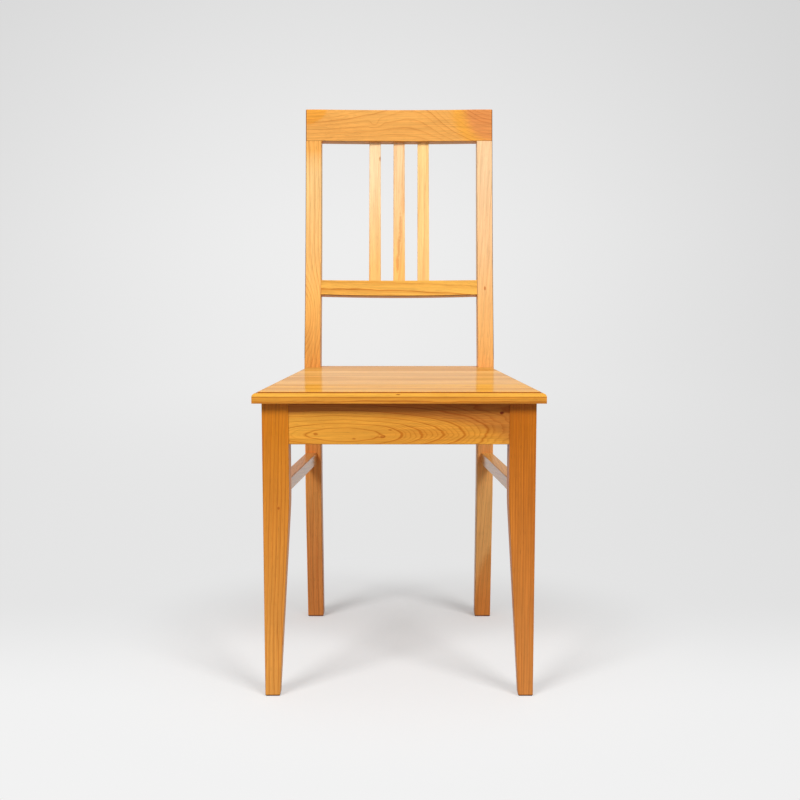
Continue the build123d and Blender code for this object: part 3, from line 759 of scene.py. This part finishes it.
@dataclass
class SeatFrame(Assembly):
    """What carries the seat: front legs, aprons, stretchers and corner blocks."""

    front_apron: Board = Board(
        "front_apron", Grain.ACROSS, (0.0, 0.40, 0.10), evenly(206, 134, 55),
        ring_width=0.03, waver=0.006, first_ring=0.83, figure=1.8, line=2.5, fine=0.18, seed=21.0,
        knots=(
            Knot((-0.076, -0.234, 0.395), (0.175, 0.3, 0.033), 7.0),
            Knot((-0.076, -0.234, 0.395), (0.08, 0.3, 0.014), 0.40, calm=True),
            Knot((-0.33, -0.234, 0.400), (0.13, 0.3, 0.06), 3.0),
            patch((-0.091, -0.234, 0.3815), (0.277, 0.3, 0.0522), (1.41, 1.72, 1.37), 0.20, 0.03),
            Knot((0.150, -0.234, 0.428), (0.0042, 0.03, 0.0028), 0.0, 1.0, RED_KNOT),
            Knot((-0.122, -0.234, 0.397), (0.0046, 0.03, 0.0026), 0.4, 0.8),
            Knot((-0.024, -0.234, 0.393), (0.0050, 0.03, 0.0028), 0.4, 0.7),
            Knot((-0.066, -0.234, 0.390), (0.0030, 0.03, 0.0018), 0.0, 0.7),
            Knot((-0.013, -0.234, 0.403), (0.0040, 0.03, 0.0016), 0.0, 0.6),
        ))
    rear_apron: Board = Board(
        "rear_apron", Grain.ACROSS, (0.0, 0.30, 0.30), evenly(222, 146, 42),
        lean=(0.0, 0.02, 0.0), seed=22.0)
    left_apron: Board = Board(
        "side_apron_left", Grain.BACKWARDS, (-0.26, 0.0, 0.34), evenly(222, 146, 42),
        lean=(0.0, 0.0, 0.02), seed=23.0)
    right_apron: Board = Board(
        "side_apron_right", Grain.BACKWARDS, (0.26, 0.0, 0.34), evenly(222, 146, 42),
        lean=(0.0, 0.0, -0.02), seed=24.0)
    left_leg: Board = Board(
        "front_leg_left", Grain.UPRIGHT, (-0.42, -0.14, 0.20), (
            # lighter towards the foot: painted light thrown up from the floor
            Tone(0.00, (239, 169, 80)), Tone(0.40, (213, 130, 27)),
        ), lean=(0.035, 0.0, 0.0), ring_width=0.0052, waver=0.020, figure=0.75, seed=25.0,
        surface=Surface.VARNISHED,
        knots=(Knot((-0.1776, -0.236, 0.287), (0.0022, 0.03, 0.0030), 0.6, 0.7), FOOT_SHADE_BAND))
    right_leg: Board = Board(
        "front_leg_right", Grain.UPRIGHT, (0.45, -0.13, 0.20), (
            # lighter towards the foot: painted light thrown up from the floor
            Tone(0.00, (219, 142, 69)), Tone(0.40, (197, 112, 18)),
        ), ring_width=0.0036, waver=0.004, figure=0.85, seed=26.0, surface=Surface.VARNISHED,
        knots=(FOOT_SHADE_BAND,))
    left_stretcher: Board = Board(
        "side_stretcher_left", Grain.BACKWARDS, (-0.40, 0.0, 0.10), (
            # the top face is painted darker: painted shade from the seat above
            Tone(0.3074, (255, 190, 100)), Tone(0.3084, (233, 161, 88)),
        ), figure=0.5, seed=27.0, surface=Surface.POLISHED, worn_from=0.3083)
    right_stretcher: Board = Board(
        "side_stretcher_right", Grain.BACKWARDS, (0.40, 0.0, 0.10), evenly(255, 190, 100),
        figure=0.5, seed=28.0, surface=Surface.POLISHED, worn_from=0.3083)
    block_rows: tuple[tuple[str, float], ...] = (("front", -0.18), ("rear", 0.12))  # names and places
    block_sides: tuple[tuple[str, float], ...] = (("left", -0.14), ("right", 0.14))
    block_height: float = 0.36
    block_seed: float = 30.0

    def boards(self) -> tuple[Board, ...]:
        """All boards of the seat frame, with a corner block in each of its corners.

        Returns:
            The boards.
        """
        blocks = []
        for end, y in self.block_rows:
            for side, x in self.block_sides:
                blocks.append(Board(
                    f"corner_block_{end}_{side}", Grain.ACROSS, (x, y, self.block_height), PLAIN_WOOD,
                    lean=(0.0, math.copysign(1.0, -x * y), 0.0), seed=self.block_seed + 10 * x + y,
                    surface=Surface.BARE))
        return (*super().boards(), *blocks)


@dataclass(frozen=True)
class ScrewPlace:
    """Where one screw of the right-hand side goes."""

    node: str
    head: Point  # middle of the face that its head rests on
    turn: Point  # turn that brings z to its direction, in degrees
    length: float  # of its shank


@dataclass
class Fasteners(Assembly):
    """The screws through the corner blocks, and the dowels inside the crest joints."""

    head_radius: float = 0.00425
    head_height: float = 0.0028
    rim: float = 0.0009
    shank_radius: float = 0.00225
    core_radius: float = 0.0017
    thread_pitch: float = 0.0018
    recess_length: float = 0.0046
    recess_width: float = 0.0011
    recess_depth: float = 0.0016
    head_sides: int = 24
    rim_steps: int = 4
    plain_share: float = 1 / 3  # of the shank, without thread
    tip_turns: int = 2  # length of its tip, in turns of the thread
    tip_size: float = 0.15  # of the core, at the end
    smooth_angle: float = 35.0
    zinc: Colour = from_screen(196, 190, 176)
    tarnish: Colour = from_screen(160, 152, 132)
    cloud_waves: Point = (420.0, 420.0, 420.0)
    steel_roughness: Span = (0.28, 0.48)
    dowels: Board = Board(
        "crest_dowels", Grain.UPRIGHT, (0.0, 0.30, 0.8), PLAIN_WOOD, lean=BACK_LEAN,
        ring_width=0.003, seed=40.0, surface=Surface.BARE)
    places: tuple[ScrewPlace, ...] = (
        ScrewPlace("seat_screws", (0.1395, -0.205348, 0.4155), (0.0, 0.0, 0.0), 0.038),
        ScrewPlace("seat_screws", (0.1160, 0.128652, 0.4155), (0.0, 0.0, 0.0), 0.038),
        ScrewPlace("corner_block_screws", (0.145113, -0.182236, 0.4295), (0.0, 90.0, -42.68), 0.03429),
        ScrewPlace("corner_block_screws", (0.119856, 0.113082, 0.4295), (0.0, 90.0, 48.59), 0.03943),
    )

    def metal(self) -> bpy.types.Material:
        """Zinc-plated steel with a slightly cloudy surface.

        Returns:
            The material.
        """
        material, bench, shader = new_material("screw_steel")
        here = bench.add("ShaderNodeTexCoord").outputs["Object"]
        cloud = bench.noise(here, self.cloud_waves, 3.0)
        bench.give(shader, Base_Color=bench.blend(cloud, self.zinc, self.tarnish), Metallic=1.0,
                   Roughness=bench.remap(cloud, *NOISE_RANGE, *self.steel_roughness))
        return material

    def screw(self, length: float) -> bpy.types.Object:
        """Model a screw along z, with its head below the origin.

        Args:
            length: Length of its shank.

        Returns:
            The screw, at the origin.
        """
        bpy.ops.mesh.primitive_cylinder_add(
            vertices=self.head_sides, radius=self.head_radius, depth=self.head_height,
            location=(0, 0, -self.head_height / 2))
        screw = bpy.context.object
        bpy.ops.object.transform_apply()
        bpy.ops.object.mode_set(mode="EDIT")
        bpy.ops.mesh.select_mode(type="FACE")
        self._select_cap(screw, top=False)
        bpy.ops.mesh.bevel(offset=self.rim, segments=self.rim_steps, affect="EDGES")
        self._select_cap(screw, top=True)
        bpy.ops.mesh.inset(thickness=self.head_radius - self.core_radius)
        plain = length * self.plain_share
        self._draw_out(plain, 1.0)
        turns = int((length - plain) / self.thread_pitch) - self.tip_turns
        widen = self.shank_radius / self.core_radius
        for _ in range(turns):
            self._draw_out(self.thread_pitch / 2, widen)
            self._draw_out(self.thread_pitch / 2, 1 / widen)
        self._draw_out(length - plain - turns * self.thread_pitch, self.tip_size)
        bpy.ops.object.mode_set(mode="OBJECT")
        self._cut_recess(screw)
        bpy.ops.object.select_all(action="DESELECT")
        screw.select_set(True)
        bpy.context.view_layer.objects.active = screw
        bpy.ops.object.shade_smooth_by_angle(angle=math.radians(self.smooth_angle))
        return screw

    @staticmethod
    def _select_cap(screw: bpy.types.Object, top: bool) -> None:
        """Select the flat end of a screw that is highest or lowest.

        Args:
            screw: The screw, in edit mode.
            top: Whether the highest end is wanted.
        """
        bpy.ops.mesh.select_all(action="DESELECT")
        bpy.ops.object.mode_set(mode="OBJECT")
        wanted = 1.0 if top else -1.0
        nearly = 0.99
        for face in screw.data.polygons:
            face.select = face.normal.z * wanted > nearly
        bpy.ops.object.mode_set(mode="EDIT")

    @staticmethod
    def _draw_out(height: float, scale: float) -> None:
        """Extrude the selected end upwards and scale it."""
        bpy.ops.mesh.extrude_region_move(TRANSFORM_OT_translate={"value": (0, 0, height)})
        bpy.ops.transform.resize(value=(scale, scale, 1.0))

    def _cut_recess(self, screw: bpy.types.Object) -> None:
        """Cut the cross for the driver into the head.

        Args:
            screw: The screw.
        """
        for size in ((self.recess_length, self.recess_width), (self.recess_width, self.recess_length)):
            bpy.ops.mesh.primitive_cube_add(size=1.0, location=(0, 0, -self.head_height),
                                            scale=(*size, 2 * self.recess_depth))
            cutter = bpy.context.object
            bpy.context.view_layer.objects.active = screw
            cut = screw.modifiers.new("recess", "BOOLEAN")
            cut.operation = "DIFFERENCE"
            cut.object = cutter
            bpy.ops.object.modifier_apply(modifier=cut.name)
            bpy.data.objects.remove(cutter)

    def build(self) -> None:
        """Model every screw in its place, on both sides, and let it stand for its plain solid."""
        metal = self.metal()
        for number, place in enumerate(self.places):
            right = self.screw(place.length)
            right.data.materials.append(metal)
            left = right.copy()
            left.data = right.data.copy()
            bpy.context.scene.collection.objects.link(left)
            for screw, side, name in ((right, 1, "right"), (left, -1, "left")):
                screw.name = f"{place.node}_{number}_{name}"
                self._set_in_place(screw, place, side)

    @staticmethod
    def _set_in_place(screw: bpy.types.Object, place: ScrewPlace, side: int) -> None:
        """Put a screw where it belongs.

        Args:
            screw: The screw, at the origin.
            place: Where the right-hand one goes.
            side: 1 on the right, -1 on the left.
        """
        x, y, z = place.head
        screw.location = (side * x, y, z)
        tip, lay, swing = place.turn
        mirrored = swing if side > 0 else 180.0 - swing
        screw.rotation_euler = [math.radians(angle) for angle in (tip, lay, mirrored)]
        bpy.ops.object.select_all(action="DESELECT")
        screw.select_set(True)
        bpy.context.view_layer.objects.active = screw
        bpy.ops.object.transform_apply()
        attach(screw, BODY)
        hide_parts(place.node)
        log.info("%s is in place", screw.name)


@dataclass(frozen=True)
class Lamp:
    """A soft square lamp."""

    name: str
    place: Point
    aim: Point
    size: float
    power: float


@dataclass
class Studio:
    """The pale floor that curves up into a wall all round, the lamps and the camera."""

    floor_radius: float = 4.2
    floor_sides: int = 128
    cove_radius: float = 1.6
    wall_height: float = 2.6
    cove_steps: int = 14
    smooth_angle: float = 30.0
    paper_roughness: float = 0.9
    paper: Colour = (0.85, 0.85, 0.85)
    bounce: Colour = (0.35, 0.35, 0.35)  # how much light the paper throws back on the chair
    paper_glow: float = 0.34  # share of the paper's own glow near the chair, painted light that weakens the chair's shadow
    paper_near: float = 0.2  # how far round the chair its shadow is deepest
    paper_far: float = 0.6  # and how far it shows at all
    painted_light_peak: float = 0.865  # brightness of the paper's own light at the middle of its painted pool of light
    painted_light_edge: float = 0.635  # brightness where that painted light is dimmest
    backdrop_reach: float = 4.5  # how far from the brightest point that is
    backdrop_centre: Point = (-0.3, 0.0, 0.3)
    backdrop_shape: Point = (1.0, 0.0, 1.15)  # how much faster it darkens upwards than sideways
    painted_floor_shade: float = 0.073  # painted shade: how much darker the floor is behind the chair
    painted_front_light: float = -0.028  # the same before the chair, where it is negative and paints the floor brighter
    dusk_rise: Span = (-0.3, 0.3)  # depths between which the painted floor shade sets in
    dusk_fall: Span = (0.6, 4.5)  # depths between which it lifts again
    dusk_left: float = 0.25  # share of it that is left then
    dusk_side: Span = (1.4, 3.4)  # distances to the side between which it ends
    dusk_height: float = 0.9  # height up the wall at which it is gone
    daylight: float = 0.40
    camera_place: Point = (0.0, -2.00995, 0.6626)
    camera_pitch: float = 83.08
    lens: float = 55.25
    sensor: float = 36.0
    shift: float = 0.0011
    lamps: tuple[Lamp, ...] = (
        Lamp("left", (-3.60, -4.96, 5.54), (0.0, 0.0, 0.4), 2.7, 356.0),
        Lamp("right", (3.60, -4.96, 5.54), (0.0, 0.0, 0.4), 2.7, 339.0),
    )

    def floor(self) -> None:
        """Model the floor and its cove."""
        bpy.ops.mesh.primitive_circle_add(
            vertices=self.floor_sides, radius=self.floor_radius, fill_type="NGON")
        floor = bpy.context.object
        floor.name = "studio_floor"
        bpy.ops.object.mode_set(mode="EDIT")
        bpy.ops.mesh.select_mode(type="EDGE")
        bpy.ops.mesh.select_all(action="SELECT")
        radius, height = self.floor_radius, 0.0
        for step in range(1, self.cove_steps + 2):
            angle = min(step / self.cove_steps, 1.0) * math.pi / 2
            wider = self.floor_radius + self.cove_radius * math.sin(angle)
            higher = self.cove_radius * (1 - math.cos(angle))
            if step > self.cove_steps:
                higher = self.wall_height
            bpy.ops.mesh.extrude_edges_move(TRANSFORM_OT_translate={"value": (0, 0, higher - height)})
            share = wider / radius
            bpy.ops.transform.resize(value=(share, share, 1.0))
            radius, height = wider, higher
        bpy.ops.mesh.select_all(action="SELECT")
        bpy.ops.mesh.normals_make_consistent(inside=False)
        bpy.ops.object.mode_set(mode="OBJECT")
        bpy.ops.object.shade_smooth_by_angle(angle=math.radians(self.smooth_angle))
        floor.data.materials.append(self.paper_finish())

    def paper_finish(self) -> bpy.types.Material:
        """White paper that takes the chair's shadow near it, weakened by its own emitted light, and
        further off shows only painted light to the camera and in reflections: a pool that dims sideways
        and upwards, with a painted band of shade on the floor behind the chair and painted light before
        it.

        Returns:
            The material.
        """
        material, bench, shader = new_material("studio_paper")
        ray = bench.add("ShaderNodeLightPath").outputs
        seen = bench.maths("MAXIMUM", ray["Is Camera Ray"], ray["Is Glossy Ray"])
        bench.give(shader, Base_Color=bench.blend(seen, self.bounce, self.paper),
                   Roughness=self.paper_roughness, Specular_IOR_Level=0.0)
        here = bench.add("ShaderNodeTexCoord").outputs["Object"]
        radius = bench.length(bench.vector("MULTIPLY", here, (1.0, 1.0, 0.0)))
        away = bench.remap(radius, self.paper_near, self.paper_far, self.paper_glow)
        aside = bench.vector("SUBTRACT", here, self.backdrop_centre)
        distance = bench.length(bench.vector("MULTIPLY", aside, self.backdrop_shape))
        # painted pool of light: the paper's own light dims away from its brightest point
        level = bench.remap(distance, 0.0, self.backdrop_reach, self.painted_light_peak, self.painted_light_edge)
        parts = bench.split(here)
        # painted shade on the floor behind the chair, and painted light before it
        painted_floor_shade = bench.remap(parts["Y"], *self.dusk_rise, self.painted_front_light, self.painted_floor_shade)
        lift = bench.remap(parts["Y"], *self.dusk_fall, 1.0, self.dusk_left)
        beside = bench.remap(bench.maths("ABSOLUTE", parts["X"]), *self.dusk_side, 1.0, 0.0)
        low = bench.remap(parts["Z"], 0.0, self.dusk_height, 1.0, 0.0)
        for fade in (lift, beside, low):
            painted_floor_shade = bench.times(painted_floor_shade, fade)
        level = bench.maths("SUBTRACT", level, painted_floor_shade)
        painted_glow = bench.give(bench.add("ShaderNodeEmission"), Strength=level)[0]
        share = bench.times(away, seen)
        mixed = bench.give(bench.add("ShaderNodeMixShader"), share, shader.outputs[0], painted_glow)[0]
        bench.give(material.node_tree.nodes["Material Output"], Surface=mixed)
        return material

    def lights(self) -> None:
        """Set up the lamps and the even light from all round."""
        for lamp in self.lamps:
            data = bpy.data.lights.new(lamp.name, "AREA")
            data.size = lamp.size
            data.energy = lamp.power
            light = bpy.data.objects.new(lamp.name, data)
            light.location = lamp.place
            direction = Vector(lamp.aim) - Vector(lamp.place)
            light.rotation_euler = direction.to_track_quat("-Z", "Y").to_euler()
            bpy.context.scene.collection.objects.link(light)
        world = bpy.data.worlds.new("studio")
        world.use_nodes = True
        background = world.node_tree.nodes["Background"].inputs
        background["Strength"].default_value = self.daylight
        background["Color"].default_value = (1.0, 1.0, 1.0, 1.0)
        bpy.context.scene.world = world

    def camera(self) -> None:
        """Set the camera in front of the chair, looking slightly down."""
        data = bpy.data.cameras.new("camera")
        data.lens = self.lens
        data.sensor_width = self.sensor
        data.shift_x = self.shift
        camera = bpy.data.objects.new("camera", data)
        camera.location = self.camera_place
        camera.rotation_euler = (math.radians(self.camera_pitch), 0.0, 0.0)
        bpy.context.scene.collection.objects.link(camera)
        bpy.context.scene.camera = camera

    def build(self) -> None:
        """Set up the whole studio."""
        self.floor()
        self.lights()
        self.camera()
        bpy.context.scene.view_settings.view_transform = "Standard"
        log.info("the studio is ready")


def main() -> None:
    """Dress the chair's boards, set its screws and light it."""
    logging.basicConfig(level=logging.INFO)
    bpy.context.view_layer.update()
    effects = WoodEffects()
    fasteners = Fasteners()
    for assembly in (Back(), Seat(), SeatFrame(), fasteners):
        for board in assembly.boards():
            board.dress(effects)
    fasteners.build()
    Studio().build()


if __name__ == "__main__":
    main()
